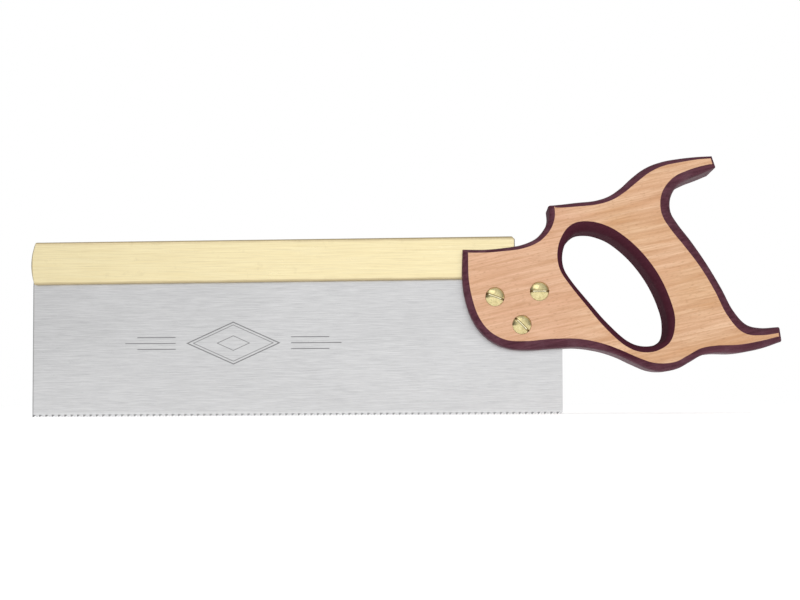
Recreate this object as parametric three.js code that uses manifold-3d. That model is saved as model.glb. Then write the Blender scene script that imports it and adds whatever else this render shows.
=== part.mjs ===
// Brass-backed tenon saw, 12 inch plate: nine separate pieces held together by three saw nuts and bolts.
// Millimetres. +X runs from the toe of the plate to the handle, +Z up, and the toothed edge stands on z = 0.
// The plate lies in the plane y = 0. The slotted nuts are on the -Y cheek and the bolt heads on the +Y cheek.
import * as THREE from "three";
import { mergeVertices } from "three/addons/utils/BufferGeometryUtils.js";
import Module from "manifold-3d";

const wasm = await Module();
wasm.setup();

// Saw plate
const INCH = 25.4;
const PLATE_LENGTH = 12 * INCH;
const PLATE_THICKNESS = 0.8;
const TEETH_PER_INCH = 14;
const TOOTH_PITCH = INCH / TEETH_PER_INCH;
const TOOTH_COUNT = 12 * TEETH_PER_INCH;
const TOOTH_DEPTH = 1.2;
const TOOTH_RAKE = THREE.MathUtils.degToRad(14);
const PLATE_HEEL_X = 91.1;
const PLATE_TOE_X = PLATE_HEEL_X - PLATE_LENGTH;
const TOE_SLANT = 1.0; // how far the toe edge leans back between the teeth and the brass back
const HEEL_CLIP_X = 11; // corner taken off the plate so that it stays clear of the grip hole
const HEEL_CLIP_Z = 11;

// Brass back: a bar with a slot milled along its lower edge
const BACK_THICKNESS = 6.4;
const BACK_HEIGHT = 24.3;
const BACK_TOE_X = -212.6;
const BACK_HEEL_X = 64.1;
const BACK_BOTTOM_Z = 75.8; // at the toe
const BACK_TILT = THREE.MathUtils.degToRad(0.43); // the plate is a little deeper at the heel
const BACK_TOE_BULGE = 2.2; // the toe end is a shallow bow
const BACK_TOE_LEAN = 1.15; // and leans back a little towards its top
const BACK_TOP_RADIUS = 1.9; // the two upper edges are rounded more than the others
const BACK_EDGE_RADIUS = 0.8;
const BACK_HEEL_CHAMFER = 1.8;
const BACK_LEVELS = [0, 0.2, 0.8, 1.9]; // depths below the side faces where the rounding is cut
const BACK_SLOT_DEPTH = 9;
const BACK_SLOT_GAP = 0.15; // on each side of the plate

// Handle: a flat beech board with every edge rounded over
const HANDLE_THICKNESS = 22;
const OUTLINE_STEP = 4.2;
const ROUNDING_LEVELS = [0, 0.35, 1.4, 3.4, 7]; // depths below the cheek face where the rounding is cut
const KERF_GAP = 0.15;
const MORTISE_GAP = 0.2;

// Saw nuts and bolts
const HEAD_RADIUS = 5.25;
const HEAD_DOME = 2.3;
const HEAD_SEAT = 1.6; // how deep the flat rim of a head sits in its counterbore
const HEAD_GAP = 0.15;
const BARREL_RADIUS = 3.2;
const BARREL_LENGTH = 8.6;
const SHANK_RADIUS = 2.1;
const SHANK_GAP = 0.2;
const SHANK_END_Y = -8.2;
const NECK_SIDE = 5.4;
const NECK_LENGTH = 5;
const SLOT_WIDTH = 0.9;
const SLOT_DEPTH = 1.5;
const FASTENERS = [
  { name: "front", x: 52.2, z: 66.4, slotAngle: -20 },
  { name: "upper", x: 77.3, z: 69.3, slotAngle: 0 },
  { name: "lower", x: 67.3, z: 50.6, slotAngle: -45 },
];

// Handle outline, clockwise seen from -Y. Each run is one smooth curve of [x, z, edge radius] points,
// and the runs meet in sharp corners.
const CHEEK_TOP = [
  [34.0, 93.3, 2.1],
  [46.7, 93.2, 2.1],
  [57.7, 94.2, 2.3],
  [67.7, 95.9, 2.6],
  [76.0, 99.8, 3.0],
  [81.0, 106.2, 3.6],
  [83.0, 112.0, 3.4],
  [82.7, 117.6, 3.3],
];
const HORN_TOP = [
  [82.7, 117.6, 1.1],
  [88.7, 118.3, 2.2],
  [98.7, 119.5, 2.8],
  [109.2, 120.6, 2.9],
  [117.2, 123.3, 3.3],
  [123.7, 127.8, 3.7],
  [129.7, 133.3, 4.2],
  [137.2, 138.8, 4.0],
  [146.2, 142.2, 3.2],
  [157.7, 144.1, 2.7],
  [166.7, 144.8, 2.0],
  [174.8, 145.1, 1.7],
];
const HORN_END = [
  [174.8, 145.1, 0.8],
  [177.0, 138.7, 0.8],
];
const GRIP_BACK = [
  [177.0, 138.7, 2.4],
  [169.3, 135.3, 4.2],
  [161.9, 132.5, 4.6],
  [156.0, 129.0, 5.2],
  [152.5, 122.5, 6.6],
  [152.6, 114.8, 7.0],
  [156.5, 107.9, 6.9],
  [163.7, 98.4, 6.6],
  [172.7, 84.7, 5.6],
  [180.7, 71.2, 5.6],
  [187.7, 58.2, 6.0],
  [195.1, 50.4, 6.2],
  [202.4, 48.3, 4.7],
  [212.4, 48.7, 3.7],
];
const SPUR_END = [
  [212.4, 48.7, 0.8],
  [213.7, 40.2, 0.8],
];
const HANDLE_BOTTOM = [
  [213.7, 40.2, 3.6],
  [202.3, 36.4, 4.6],
  [189.7, 34.2, 4.7],
  [176.7, 34.2, 4.2],
  [169.2, 32.9, 4.2],
  [162.7, 29.3, 4.3],
  [155.7, 25.5, 4.4],
  [147.7, 23.9, 4.7],
  [140.2, 24.8, 4.3],
  [131.7, 28.4, 3.6],
  [122.7, 32.7, 3.3],
  [112.7, 35.9, 3.9],
  [99.7, 37.9, 4.7],
  [84.7, 37.4, 5.4],
  [69.7, 36.6, 5.0],
  [57.2, 38.2, 4.3],
  [46.7, 44.2, 4.0],
  [39.7, 53.2, 4.1],
  [35.5, 64.5, 4.3],
  [33.7, 76.0, 4.1],
  [34.0, 93.3, 3.4],
];
const HANDLE_OUTLINE = [CHEEK_TOP, HORN_TOP, HORN_END, GRIP_BACK, SPUR_END, HANDLE_BOTTOM];

// Grip hole: one closed smooth curve, clockwise seen from -Y.
const GRIP_HOLE = [
  [90.5, 89.5, 3.3],
  [92.7, 97.2, 4.0],
  [98.2, 102.6, 5.2],
  [105.7, 103.6, 5.1],
  [113.2, 101.9, 4.8],
  [119.9, 98.6, 4.5],
  [130.8, 89.3, 4.4],
  [140.2, 77.0, 4.4],
  [146.6, 64.3, 4.1],
  [149.8, 52.5, 3.9],
  [148.6, 42.3, 2.9],
  [141.9, 38.7, 3.7],
  [134.2, 38.5, 3.8],
  [127.1, 41.3, 3.5],
  [115.6, 51.6, 3.3],
  [105.3, 63.4, 2.9],
  [95.4, 75.5, 2.6],
  [91.4, 82.2, 2.8],
];

const beech = new THREE.MeshStandardMaterial({ color: 0xe1b48c, roughness: 0.45, metalness: 0 });
const brass = new THREE.MeshStandardMaterial({ color: 0xe6d08c, roughness: 0.3, metalness: 1 });
const steel = new THREE.MeshStandardMaterial({ color: 0xc4c6c8, roughness: 0.35, metalness: 1 });

// A three.js geometry as a solid for the cuts and joins.
function solid(geometry) {
  const plain = geometry.index ? geometry.toNonIndexed() : geometry;
  const bare = new THREE.BufferGeometry();
  bare.setAttribute("position", plain.getAttribute("position"));
  const merged = mergeVertices(bare, 1e-4);
  return new wasm.Manifold(
    new wasm.Mesh({
      numProp: 3,
      vertProperties: merged.attributes.position.array,
      triVerts: new Uint32Array(merged.index.array),
    }),
  );
}

function mesh(name, shape, material) {
  const data = shape.getMesh();
  const geometry = new THREE.BufferGeometry();
  geometry.setAttribute("position", new THREE.BufferAttribute(new Float32Array(data.vertProperties), 3));
  geometry.setIndex(new THREE.BufferAttribute(new Uint32Array(data.triVerts), 1));
  geometry.computeVertexNormals();
  const made = new THREE.Mesh(geometry, material);
  made.name = name;
  return made;
}

// An x-z outline made into a board between y = near and y = far.
function board(shape, near, far) {
  const geometry = new THREE.ExtrudeGeometry(shape, { depth: far - near, bevelEnabled: false });
  geometry.rotateX(Math.PI / 2);
  geometry.translate(0, far, 0);
  return geometry;
}

function polygon(points) {
  return new THREE.Shape(points.map(([x, z]) => new THREE.Vector2(x, z)));
}

// A turned piece: profile of [radius, y] points from axis to axis, with its axis along Y through (x, z).
function turned(profile, x, z, segments = 32) {
  const points = profile.map(([radius, y]) => new THREE.Vector2(radius, y));
  const geometry = new THREE.LatheGeometry(points, segments);
  geometry.translate(x, 0, z);
  return geometry;
}

function block(width, depth, height, x, y, z) {
  const geometry = new THREE.BoxGeometry(width, depth, height);
  geometry.translate(x, y, z);
  return geometry;
}

// Height of the brass back's lower edge above the teeth at a given x.
function backBottom(x) {
  return BACK_BOTTOM_Z + (x - BACK_TOE_X) * Math.tan(BACK_TILT);
}

// ---- Saw plate ----

function plateOutline(gap = 0) {
  const heel = PLATE_HEEL_X + gap;
  const shoulder = backBottom(PLATE_HEEL_X) - 0.8 + gap;
  return { heel, shoulder };
}

function sawPlate() {
  const points = [];
  const rise = TOOTH_DEPTH * Math.tan(TOOTH_RAKE);
  for (let tooth = 0; tooth < TOOTH_COUNT; tooth += 1) {
    const gullet = PLATE_TOE_X + tooth * TOOTH_PITCH;
    points.push([gullet, tooth === 0 ? 0 : TOOTH_DEPTH]);
    if (tooth > 0) points.push([gullet + rise, 0]);
  }
  points.push([PLATE_HEEL_X, TOOTH_DEPTH]);
  const { heel, shoulder } = plateOutline();
  const tongue = BACK_SLOT_DEPTH - 0.3;
  const tongueHeel = BACK_HEEL_X - 0.3;
  const tongueToe = PLATE_TOE_X + TOE_SLANT + 0.6;
  points.push([heel, shoulder - HEEL_CLIP_Z]);
  points.push([heel - HEEL_CLIP_X, shoulder]);
  points.push([tongueHeel, shoulder]);
  points.push([tongueHeel, backBottom(tongueHeel) + tongue]);
  points.push([tongueToe, backBottom(tongueToe) + tongue]);
  points.push([PLATE_TOE_X + TOE_SLANT, backBottom(PLATE_TOE_X) - 0.3]);
  let shape = solid(board(polygon(points), -PLATE_THICKNESS / 2, PLATE_THICKNESS / 2));
  for (const { x, z } of FASTENERS) {
    const radius = SHANK_RADIUS + 0.4;
    shape = shape.subtract(
      solid(
        turned(
          [
            [0, -2],
            [radius, -2],
            [radius, 2],
            [0, 2],
          ],
          x,
          z,
        ),
      ),
    );
  }
  return shape;
}

// ---- Brass back ----

// Side outline of the back, clockwise seen from -Y, as [x, z, rounding radius of the edge that follows].
function backOutline() {
  const length = BACK_HEEL_X - BACK_TOE_X;
  const bow = (t) => BACK_TOE_LEAN * t - 4 * BACK_TOE_BULGE * t * (1 - t);
  const steps = 10;
  const toe = [];
  for (let i = 0; i <= steps; i += 1) {
    const radius = i === steps ? BACK_TOP_RADIUS : BACK_EDGE_RADIUS;
    toe.push([bow(i / steps), (i / steps) * BACK_HEIGHT, radius]);
  }
  const front = Math.min(...toe.map(([x]) => x));
  const outline = toe.map(([x, z, radius]) => [x - front, z, radius]);
  outline.push([length - BACK_HEEL_CHAMFER, BACK_HEIGHT, BACK_EDGE_RADIUS]);
  outline.push([length, BACK_HEIGHT - BACK_HEEL_CHAMFER, BACK_EDGE_RADIUS]);
  outline.push([length, 0, BACK_EDGE_RADIUS]);
  return outline.map(([x, z, radiusOut], i) => {
    const radiusIn = outline[(i + outline.length - 1) % outline.length][2];
    return { x, z, radiusIn, radiusOut };
  });
}

function brassBack() {
  const bar = roundedBoard([backOutline()], BACK_THICKNESS, BACK_LEVELS);
  const slotWidth = PLATE_THICKNESS + 2 * BACK_SLOT_GAP;
  const slot = block(1000, slotWidth, 2 * BACK_SLOT_DEPTH, 0, 0, 0);
  const shape = solid(bar).subtract(solid(slot));
  return shape.rotate([0, -THREE.MathUtils.radToDeg(BACK_TILT), 0]).translate([BACK_TOE_X, 0, BACK_BOTTOM_Z]);
}

// ---- Handle ----

// Points along one run, each with the rounding radius carried in its third coordinate.
function samples(run, closed) {
  const points = run.map(([x, z, radius]) => new THREE.Vector3(x, z, radius));
  const curve = new THREE.CatmullRomCurve3(points, closed, "centripetal");
  const count = Math.max(1, Math.round(curve.getLength() / OUTLINE_STEP));
  return curve.getSpacedPoints(count);
}

// The runs joined into one closed loop of points. Each point has the rounding radius of the edge that
// arrives at it and of the edge that leaves it, and these differ where two runs meet.
function loopOf(runs, closed) {
  const loop = [];
  const pieces = runs.map((run) => samples(run, closed));
  pieces.forEach((piece, index) => {
    const before = pieces[(index + pieces.length - 1) % pieces.length];
    piece.slice(0, -1).forEach((point, i) => {
      const radiusIn = i === 0 ? before[before.length - 1].z : point.z;
      loop.push({ x: point.x, z: point.y, radiusIn, radiusOut: point.z });
    });
  });
  return loop;
}

// How far the rounded edge has drawn in at a given depth below the cheek face.
function drawIn(radius, depth) {
  if (depth >= radius) return 0;
  return radius - Math.sqrt(radius ** 2 - (radius - depth) ** 2);
}

// The loop moved into the wood (to the right of its direction) by the rounding at one depth.
function insetLoop(loop, depth, sign) {
  return loop.map((point, i) => {
    const before = loop[(i + loop.length - 1) % loop.length];
    const after = loop[(i + 1) % loop.length];
    const a = new THREE.Vector2(point.x - before.x, point.z - before.z).normalize();
    const b = new THREE.Vector2(after.x - point.x, after.z - point.z).normalize();
    const normalA = new THREE.Vector2(a.y, -a.x).multiplyScalar(sign);
    const normalB = new THREE.Vector2(b.y, -b.x).multiplyScalar(sign);
    const moveA = drawIn(point.radiusIn, depth);
    const moveB = drawIn(point.radiusOut, depth);
    const turn = normalA.dot(normalB);
    if (turn > 0.9) {
      const middle = normalA.clone().add(normalB);
      const distance = (moveA + moveB) / middle.lengthSq();
      return [point.x + middle.x * distance, point.z + middle.y * distance];
    }
    const scaleA = (moveA - moveB * turn) / (1 - turn ** 2);
    const scaleB = (moveB - moveA * turn) / (1 - turn ** 2);
    return [
      point.x + normalA.x * scaleA + normalB.x * scaleB,
      point.z + normalA.y * scaleA + normalB.y * scaleB,
    ];
  });
}

// A board with its edges rounded by the radius carried along each loop: the outline first, then any hole.
function roundedBoard(loops, thickness, levels) {
  const half = thickness / 2;
  const near = levels.map((depth) => ({ depth, y: -half + depth }));
  const far = levels.map((depth) => ({ depth, y: half - depth })).reverse();
  const rows = [...near, ...far];
  const positions = [];
  const put = ([x, z], y) => positions.push(x, y, z);
  loops.forEach((loop, index) => {
    const sign = index === 0 ? 1 : -1;
    const rings = rows.map(({ depth, y }) => ({ y, points: insetLoop(loop, depth, sign) }));
    for (let k = 0; k + 1 < rings.length; k += 1) {
      const [low, high] = [rings[k], rings[k + 1]];
      for (let i = 0; i < loop.length; i += 1) {
        const j = (i + 1) % loop.length;
        const [first, second] = sign > 0 ? [j, i] : [i, j];
        put(low.points[first], low.y);
        put(high.points[first], high.y);
        put(high.points[second], high.y);
        put(low.points[first], low.y);
        put(high.points[second], high.y);
        put(low.points[second], low.y);
      }
    }
  });
  const rims = loops.map((loop, index) => insetLoop(loop, 0, index === 0 ? 1 : -1));
  const [contour, ...holes] = rims.map((rim) => rim.map(([x, z]) => new THREE.Vector2(x, z)));
  const faces = THREE.ShapeUtils.triangulateShape(contour, holes);
  const all = rims.flat();
  for (const side of [-1, 1]) {
    for (const [a, b, c] of faces) {
      const order = side < 0 ? [a, b, c] : [c, b, a];
      for (const i of order) put(all[i], side * half);
    }
  }
  const geometry = new THREE.BufferGeometry();
  geometry.setAttribute("position", new THREE.BufferAttribute(new Float32Array(positions), 3));
  return geometry;
}

function handle() {
  const loops = [loopOf(HANDLE_OUTLINE, false), loopOf([GRIP_HOLE], true)];
  let shape = solid(roundedBoard(loops, HANDLE_THICKNESS, ROUNDING_LEVELS));
  const { heel, shoulder } = plateOutline(0.3);
  const kerf = polygon([
    [10, 10],
    [heel, 10],
    [heel, shoulder - HEEL_CLIP_Z],
    [heel - HEEL_CLIP_X, shoulder],
    [BACK_HEEL_X - 2, shoulder],
    [BACK_HEEL_X - 2, shoulder + 4],
    [10, shoulder + 4],
  ]);
  const kerfHalf = PLATE_THICKNESS / 2 + KERF_GAP;
  shape = shape.subtract(solid(board(kerf, -kerfHalf, kerfHalf)));
  const mortise = polygon([
    [10, backBottom(10) - 0.3],
    [BACK_HEEL_X + 0.3, backBottom(BACK_HEEL_X) - 0.3],
    [BACK_HEEL_X + 0.3, 130],
    [10, 130],
  ]);
  const mortiseHalf = BACK_THICKNESS / 2 + MORTISE_GAP;
  shape = shape.subtract(solid(board(mortise, -mortiseHalf, mortiseHalf)));
  const half = HANDLE_THICKNESS / 2;
  for (const { x, z } of FASTENERS) {
    const seat = HEAD_RADIUS + HEAD_GAP;
    const barrel = BARREL_RADIUS + HEAD_GAP;
    const shank = SHANK_RADIUS + SHANK_GAP;
    const bore = [
      [0, -half - 5],
      [seat, -half - 5],
      [seat, -half + HEAD_SEAT + 0.1],
      [barrel, -half + HEAD_SEAT + 0.1],
      [barrel, 0],
      [shank, 0],
      [shank, half - HEAD_SEAT - 2],
      [shank, half - HEAD_SEAT - 0.1],
      [seat, half - HEAD_SEAT - 0.1],
      [seat, half + 5],
      [0, half + 5],
    ];
    const neck = NECK_SIDE + 2 * SHANK_GAP;
    const neckRoom = NECK_LENGTH + 0.6;
    shape = shape.subtract(solid(turned(bore, x, z)));
    shape = shape.subtract(
      solid(block(neck, neckRoom, neck, x, half - HEAD_SEAT - neckRoom / 2 + 0.3, z)),
    );
  }
  return shape;
}

// ---- Saw nuts and bolts ----

// Profile of a domed head from the axis outwards, its rim seated below the cheek face at y = -half.
function headProfile(half) {
  const rim = -half + HEAD_SEAT;
  const crown = -half - HEAD_DOME;
  const profile = [[0, crown]];
  const steps = 6;
  for (let i = 1; i <= steps; i += 1) {
    const angle = (i / steps) * (Math.PI / 2);
    profile.push([HEAD_RADIUS * Math.sin(angle), -half - HEAD_DOME * Math.cos(angle)]);
  }
  profile.push([HEAD_RADIUS, rim]);
  return profile;
}

function sawNut({ x, z, slotAngle }) {
  const half = HANDLE_THICKNESS / 2;
  const barrelEnd = -half + HEAD_SEAT + BARREL_LENGTH - 0.4;
  const bore = SHANK_RADIUS + SHANK_GAP;
  const profile = [
    ...headProfile(half),
    [BARREL_RADIUS, -half + HEAD_SEAT],
    [BARREL_RADIUS, barrelEnd],
    [bore, barrelEnd],
    [bore, SHANK_END_Y - 0.4],
    [0, SHANK_END_Y - 0.4],
  ];
  const slot = new THREE.BoxGeometry(4 * HEAD_RADIUS, 2 * SLOT_DEPTH, SLOT_WIDTH);
  slot.rotateY(THREE.MathUtils.degToRad(-slotAngle));
  slot.translate(x, -half - HEAD_DOME, z);
  return solid(turned(profile, x, z)).subtract(solid(slot));
}

function sawBolt({ x, z }) {
  const half = HANDLE_THICKNESS / 2;
  const head = headProfile(half).map(([radius, y]) => [radius, -y]);
  const profile = [
    [0, SHANK_END_Y],
    [SHANK_RADIUS, SHANK_END_Y],
    [SHANK_RADIUS, half - HEAD_SEAT],
    ...head.reverse(),
  ];
  const neck = block(NECK_SIDE, NECK_LENGTH, NECK_SIDE, x, half - HEAD_SEAT - NECK_LENGTH / 2 + 0.2, z);
  return solid(turned(profile, x, z)).add(solid(neck));
}

const saw = new THREE.Group();
saw.name = "back_saw";
saw.add(mesh("saw_plate", sawPlate(), steel));
saw.add(mesh("brass_back", brassBack(), brass));
saw.add(mesh("handle", handle(), beech));
for (const fastener of FASTENERS) {
  saw.add(mesh(`${fastener.name}_saw_nut`, sawNut(fastener), brass));
  saw.add(mesh(`${fastener.name}_saw_bolt`, sawBolt(fastener), brass));
}

export default saw;
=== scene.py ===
import math

import bmesh
import bpy
from mathutils import Matrix, Vector


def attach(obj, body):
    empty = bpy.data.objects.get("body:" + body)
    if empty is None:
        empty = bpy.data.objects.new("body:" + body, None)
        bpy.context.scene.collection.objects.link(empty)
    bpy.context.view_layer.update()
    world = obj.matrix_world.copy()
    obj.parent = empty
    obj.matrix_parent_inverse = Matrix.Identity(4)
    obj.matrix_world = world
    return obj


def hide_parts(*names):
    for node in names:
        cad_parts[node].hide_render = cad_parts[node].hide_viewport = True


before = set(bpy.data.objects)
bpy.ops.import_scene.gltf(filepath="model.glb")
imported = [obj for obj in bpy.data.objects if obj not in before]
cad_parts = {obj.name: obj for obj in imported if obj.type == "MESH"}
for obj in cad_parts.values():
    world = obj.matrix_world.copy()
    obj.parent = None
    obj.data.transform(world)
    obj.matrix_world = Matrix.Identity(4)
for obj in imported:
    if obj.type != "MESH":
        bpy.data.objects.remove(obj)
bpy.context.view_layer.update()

MM = 0.001
PI = math.pi

# ---------------------------------------------------------------- sizes in millimetres, in the CAD frame
PLATE_HEEL_X = 91.1
PLATE_LENGTH = 304.8
PLATE_TOE_X = PLATE_HEEL_X - PLATE_LENGTH
PLATE_HALF = 0.4
TOE_SLANT = 1.0
PLATE_SHOWN = 75  # height of plate below the back
TOOTH_COUNT = 168
TOOTH_PITCH = PLATE_LENGTH / TOOTH_COUNT
TOOTH_DEPTH = 1.2
TOOTH_RAKE = math.radians(14)
TOOTH_SET = 0.16
TOOTH_FLEAM = 0.22
POINT_BEVEL = 0.22
GUM_RISE = 0.25  # the plate is flat from this far above the gullets
HEEL_CLIP = 11
SHOULDER_DROP = 0.8  # hidden shoulder, below the underside of the back
TONGUE_STEP = 0.6  # the hidden tongue stands back from the toe by this
PLATE_HOLE_GAP = 0.4

BACK_HALF = 3.2
BACK_HEIGHT = 24.3
BACK_TOE_X = -212.6
BACK_HEEL_X = 64.1
BACK_BOTTOM_Z = 75.8
BACK_TILT = math.radians(0.43)
BACK_TOE_BULGE = 2.2
BACK_TOE_LEAN = 1.15
BACK_TOP_RADIUS = 1.9
BACK_EDGE_RADIUS = 0.8
BACK_HEEL_CHAMFER = 1.8
BACK_SLOT_DEPTH = 9
BACK_SLOT_GAP = 0.15
BACK_LEVELS = (0, 0.03, 0.1, 0.22, 0.4, 0.6, 0.8, 1.1, 1.5, 1.9)

HANDLE_HALF = 11
KERF_GAP = 0.15
MORTISE_GAP = 0.2
END_GAP = 0.3
FITTING_GAP = 0.15
BORE_GAP = 0.2
CURVE_STEP = 1.3
HEAD_RADIUS = 5.25
HEAD_DOME = 2.3
HEAD_RIM = 0.2
CROWN_DROP = 0.02  # keeps the finer dome inside the CAD one
HEAD_SEAT = 1.6
BARREL_RADIUS = 3.2
BARREL_END = -1.2
SHANK_RADIUS = 2.1
SHANK_END_Y = -8.2
NECK_SIDE = 5.4
NECK_LENGTH = 5
FITTING_CHAMFER = 0.3
SLOT_WIDTH = 0.9
SLOT_DEPTH = 1.5
SLOT_NARROWING = 0.15  # on each side, below the bevelled lips
LIP = 0.35
PAST = 9  # how far a cutter reaches past what it cuts
# Each fastener's name, the x and z of its axis, and its slot's angle in degrees.
FASTENERS = (
    ("front", 52.2, 66.4, -20),
    ("upper", 77.3, 69.3, 0),
    ("lower", 67.3, 50.6, -45),
)

# Handle outline, clockwise seen from -Y: runs of (x, z, edge radius) that meet in sharp corners.
HANDLE_OUTLINE = (
    ((34.0, 93.3, 2.1), (46.7, 93.2, 2.1), (57.7, 94.2, 2.3), (67.7, 95.9, 2.6), (76.0, 99.8, 3.0),
     (81.0, 106.2, 3.6), (83.0, 112.0, 3.4), (82.7, 117.6, 3.3)),
    ((82.7, 117.6, 1.1), (88.7, 118.3, 2.2), (98.7, 119.5, 2.8), (109.2, 120.6, 2.9), (117.2, 123.3, 3.3),
     (123.7, 127.8, 3.7), (129.7, 133.3, 4.2), (137.2, 138.8, 4.0), (146.2, 142.2, 3.2),
     (157.7, 144.1, 2.7), (166.7, 144.8, 2.0), (174.8, 145.1, 1.7)),
    ((174.8, 145.1, 1.5), (177.0, 138.7, 1.5)),
    ((177.0, 138.7, 2.4), (169.3, 135.3, 4.2), (161.9, 132.5, 4.6), (156.0, 129.0, 5.2),
     (152.5, 122.5, 6.6), (152.6, 114.8, 7.0), (156.5, 107.9, 6.9), (163.7, 98.4, 6.6),
     (172.7, 84.7, 5.6), (180.7, 71.2, 5.6), (187.7, 58.2, 6.0), (195.1, 50.4, 6.2),
     (202.4, 48.3, 4.7), (212.4, 48.7, 3.7)),
    ((212.4, 48.7, 1.5), (213.7, 40.2, 1.5)),
    ((213.7, 40.2, 3.6), (202.3, 36.4, 4.6), (189.7, 34.2, 4.7), (176.7, 34.2, 4.2), (169.2, 32.9, 4.2),
     (162.7, 29.3, 4.3), (155.7, 25.5, 4.4), (147.7, 23.9, 4.7), (140.2, 24.8, 4.3), (131.7, 28.4, 3.6),
     (122.7, 32.7, 3.3), (112.7, 35.9, 3.9), (99.7, 37.9, 4.7), (84.7, 37.4, 5.4), (69.7, 36.6, 5.0),
     (57.2, 38.2, 4.3), (46.7, 44.2, 4.0), (39.7, 53.2, 4.1), (35.5, 64.5, 4.3), (33.7, 76.0, 4.1),
     (34.0, 93.3, 3.4)),
)
GRIP_HOLE = (
    (90.5, 89.5, 3.3), (92.7, 97.2, 4.0), (98.2, 102.6, 5.2), (105.7, 103.6, 5.1), (113.2, 101.9, 4.8),
    (119.9, 98.6, 4.5), (130.8, 89.3, 4.4), (140.2, 77.0, 4.4), (146.6, 64.3, 4.1), (149.8, 52.5, 3.9),
    (148.6, 42.3, 2.9), (141.9, 38.7, 3.7), (134.2, 38.5, 3.8), (127.1, 41.3, 3.5), (115.6, 51.6, 3.3),
    (105.3, 63.4, 2.9), (95.4, 75.5, 2.6), (91.4, 82.2, 2.8),
)
ROUNDING_LEVELS = (0, 0.04, 0.14, 0.32, 0.6, 1.0, 1.5, 2.2, 3.0, 4.0, 5.3, 7.0)
SMOOTH_TURN = 0.9  # cosine of the sharpest turn that still counts as smooth


# ---------------------------------------------------------------- node helpers
class Nodes:
    """A short way to build one material's node tree."""

    def __init__(self, name):
        self.material = bpy.data.materials.new(name)
        self.material.use_nodes = True
        self.tree = self.material.node_tree
        self.shader = self.tree.nodes["Principled BSDF"]

    def add(self, kind, **settings):
        node = self.tree.nodes.new(kind)
        for key, value in settings.items():
            setattr(node, key, value)
        return node

    def feed(self, socket, value):
        if isinstance(value, bpy.types.NodeSocket):
            self.tree.links.new(value, socket)
        else:
            socket.default_value = value

    def set(self, **values):
        for key, value in values.items():
            self.feed(self.shader.inputs[key.replace("_", " ")], value)

    def position(self, scale=(1, 1, 1), turn=(0, 0, 0), move=(0, 0, 0)):
        """Object coordinates, turned, then scaled to so many noise features per millimetre."""
        coords = self.add("ShaderNodeTexCoord").outputs["Object"]
        first = self.add("ShaderNodeMapping")
        self.feed(first.inputs["Vector"], coords)
        first.inputs["Rotation"].default_value = turn
        first.inputs["Scale"].default_value = (1000, 1000, 1000)
        second = self.add("ShaderNodeMapping")
        self.feed(second.inputs["Vector"], first.outputs["Vector"])
        second.inputs["Scale"].default_value = scale
        second.inputs["Location"].default_value = move
        return second.outputs["Vector"]

    def noise(self, vector, detail, roughness, distortion=0.0):
        node = self.add("ShaderNodeTexNoise")
        self.feed(node.inputs["Vector"], vector)
        node.inputs["Scale"].default_value = 1.0
        node.inputs["Detail"].default_value = detail
        node.inputs["Roughness"].default_value = roughness
        node.inputs["Distortion"].default_value = distortion
        return node.outputs["Fac"]

    def math(self, operation, a, b=0.0):
        node = self.add("ShaderNodeMath", operation=operation)
        for socket, value in zip(node.inputs, (a, b)):
            self.feed(socket, value)
        return node.outputs[0]

    def between(self, value, low, high, to_low=0.0, to_high=1.0, smooth=False):
        node = self.add("ShaderNodeMapRange", clamp=True)
        if smooth:
            node.interpolation_type = "SMOOTHSTEP"
        for key, item in (("Value", value), ("From Min", low), ("From Max", high), ("To Min", to_low),
                          ("To Max", to_high)):
            self.feed(node.inputs[key], item)
        return node.outputs["Result"]

    def mix(self, factor, a, b):
        node = self.add("ShaderNodeMix", data_type="RGBA")
        self.feed(node.inputs["Factor"], factor)
        for socket, value in ((node.inputs[6], a), (node.inputs[7], b)):
            self.feed(socket, (*value, 1.0) if isinstance(value, tuple) and len(value) == 3 else value)
        return node.outputs[2]

    def split(self, vector):
        node = self.add("ShaderNodeSeparateXYZ")
        self.feed(node.inputs[0], vector)
        return node.outputs

    def bump(self, height, distance, strength, normal=None):
        node = self.add("ShaderNodeBump")
        node.inputs["Strength"].default_value = strength
        node.inputs["Distance"].default_value = distance
        self.feed(node.inputs["Height"], height)
        if normal is not None:
            self.feed(node.inputs["Normal"], normal)
        return node.outputs["Normal"]


# ---------------------------------------------------------------- materials
GRAIN_TILT = math.radians(12)  # the grain rises towards the horns
BEECH_PALE = (0.85, 0.580, 0.370)
BEECH_DEEP = (0.66, 0.370, 0.190)
BEECH_PINK = (0.80, 0.490, 0.340)
BEECH_STREAK = (0.56, 0.295, 0.155)
BEECH_FIBRE = (0.52, 0.275, 0.145)
BEECH_PORE = (0.42, 0.205, 0.105)
BEECH_SAWN = (0.42, 0.22, 0.11)
STAIN_DARK = (0.066, 0.018, 0.029)
STAIN_RED = (0.120, 0.040, 0.058)
STAIN_WORN = (0.175, 0.088, 0.112)
# the next colour is painted shade for the stain in the grip hole
STAIN_GRIP_SHADE = (0.058, 0.011, 0.021)
BRASS_LIGHT = (0.93, 0.82, 0.52)
BRASS_MID = (0.86, 0.735, 0.435)
# the tarnish colour below also serves as painted shade along the back's edges
BRASS_TARNISH_AND_SHADE = (0.46, 0.37, 0.22)
NUT_BRASS_LIGHT = (0.82, 0.72, 0.40)
NUT_BRASS_MID = (0.64, 0.545, 0.27)
NUT_GRIME = (0.36, 0.26, 0.11)
NUT_TARNISH = (0.34, 0.27, 0.12)
# the slot floor colours are a painted highlight
SLOT_HIGHLIGHT_PALE = (1.0, 0.95, 0.72)
SLOT_HIGHLIGHT_MID = (0.88, 0.80, 0.52)
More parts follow.
